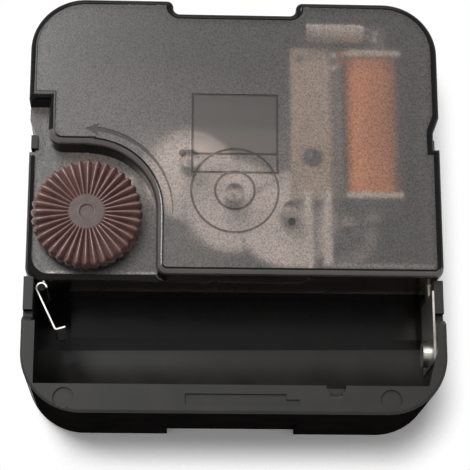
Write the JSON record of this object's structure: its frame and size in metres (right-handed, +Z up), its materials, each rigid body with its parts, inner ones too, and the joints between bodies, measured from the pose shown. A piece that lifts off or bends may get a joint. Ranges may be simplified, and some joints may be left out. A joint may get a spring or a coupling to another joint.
{
  "type": "quartz clock movement",
  "caption": "Square quartz clock movement with smoked cover, fluted setting knob, coil motor, gear train, AA battery bay, threaded bushing and hand shafts.",
  "frame": {"origin": "centre of the threaded bushing on the dial face", "axes": "+Z up with the battery bay at the bottom, -Y out of the dial along the hand shaft, +Y towards the back cover, +X to the left as seen from the back"},
  "size_m": [0.056, 0.031, 0.058],
  "materials": {
    "black_abs": "moulded, satin",
    "smoked_polystyrene": "smoked translucent, fine-textured face with glossy edges",
    "brass": "turned",
    "black_pom": "moulded, satin",
    "soft_iron": "stamped, annealed grey",
    "bobbin_nylon": "moulded grey-green nylon",
    "copper_wire": "enamelled copper wire",
    "phenolic_board": "tan phenolic sheet",
    "black_epoxy": "glob-top resin",
    "nickel_plate": "nickel plated",
    "solder": "bright solder",
    "plated_strip": "nickel plated spring steel",
    "sintered_magnet": "sintered, dark grey",
    "white_pom": "moulded, satin",
    "steel_shaft": "ground steel",
    "red_smoke_polystyrene": "dark red-brown translucent"
  },
  "bodies": {
    "case": {"base_case": "black_abs", "rear_cover": "smoked_polystyrene", "bushing": "brass", "train_bridge": "black_pom", "stator": "soft_iron", "coil_core": "soft_iron", "coil_bobbin": "bobbin_nylon", "coil_pack": "copper_wire", "coil_winding": "copper_wire", "coil_leads": "copper_wire", "circuit_board": "phenolic_board", "chip_resin": "black_epoxy", "crystal_can": "nickel_plate", "crystal_leads": "nickel_plate", "solder_joints": "solder", "positive_contact": "plated_strip", "negative_strip": "plated_strip"},
    "rotor": {"rotor_magnet": "sintered_magnet", "rotor_pinion": "white_pom"},
    "intermediate": {"intermediate_wheel": "white_pom"},
    "seconds": {"seconds_wheel": "white_pom", "seconds_shaft": "steel_shaft"},
    "third": {"third_wheel": "white_pom"},
    "centre": {"centre_wheel": "white_pom"},
    "knob": {"setting_knob": "red_smoke_polystyrene", "knob_arbor": "red_smoke_polystyrene"},
    "minute": {"minute_pipe": "brass", "clutch_spring": "plated_strip"},
    "minute_work": {"minute_work_wheel": "white_pom"},
    "hour": {"hour_wheel": "white_pom"},
    "negative_leaf": {"negative_contact": "plated_strip"}
  },
  "joints": [
    {"name": "rotor_spin", "type": "hinge", "parent": "case", "child": "rotor", "pos_m": [-0.0155, 0.008, -0.00359], "axis": [0, 1, 0], "continuous": true},
    {"name": "intermediate_spin", "type": "hinge", "parent": "case", "child": "intermediate", "pos_m": [-0.0076, 0.009, -0.0024], "axis": [0, 1, 0], "continuous": true},
    {"name": "seconds_spin", "type": "hinge", "parent": "case", "child": "seconds", "pos_m": [0, 0.008, 0], "axis": [0, 1, 0], "continuous": true},
    {"name": "third_spin", "type": "hinge", "parent": "case", "child": "third", "pos_m": [0.006, 0.007, 0.00469], "axis": [0, 1, 0], "continuous": true},
    {"name": "centre_spin", "type": "hinge", "parent": "case", "child": "centre", "pos_m": [0, 0.006, 0], "axis": [0, 1, 0], "continuous": true},
    {"name": "knob_spin", "type": "hinge", "parent": "case", "child": "knob", "pos_m": [0.0198, 0.013, -0.003], "axis": [0, 1, 0], "continuous": true},
    {"name": "minute_spin", "type": "hinge", "parent": "case", "child": "minute", "pos_m": [0, 0.003, 0], "axis": [0, 1, 0], "continuous": true},
    {"name": "minute_work_spin", "type": "hinge", "parent": "case", "child": "minute_work", "pos_m": [0.0096, 0.003, -0.00012], "axis": [0, 1, 0], "continuous": true},
    {"name": "hour_spin", "type": "hinge", "parent": "case", "child": "hour", "pos_m": [0, 0.002, 0], "axis": [0, 1, 0], "continuous": true},
    {"name": "negative_leaf_flex", "type": "hinge", "parent": "case", "child": "negative_leaf", "pos_m": [0.02575, 0.0085, -0.0127], "axis": [0, -1, 0], "range_deg": [0, 20], "stiffness_Nm_per_rad": 0.02}
  ],
  "couplings": [
    {"joint": "intermediate_spin", "follows": "rotor_spin", "ratio": -0.16667},
    {"joint": "seconds_spin", "follows": "rotor_spin", "ratio": 0.033333},
    {"joint": "third_spin", "follows": "rotor_spin", "ratio": -0.0055556},
    {"joint": "centre_spin", "follows": "rotor_spin", "ratio": 0.00055556},
    {"joint": "minute_work_spin", "follows": "knob_spin", "ratio": -0.47222},
    {"joint": "minute_spin", "follows": "knob_spin", "ratio": 1.4167},
    {"joint": "hour_spin", "follows": "knob_spin", "ratio": 0.11806}
  ]
}
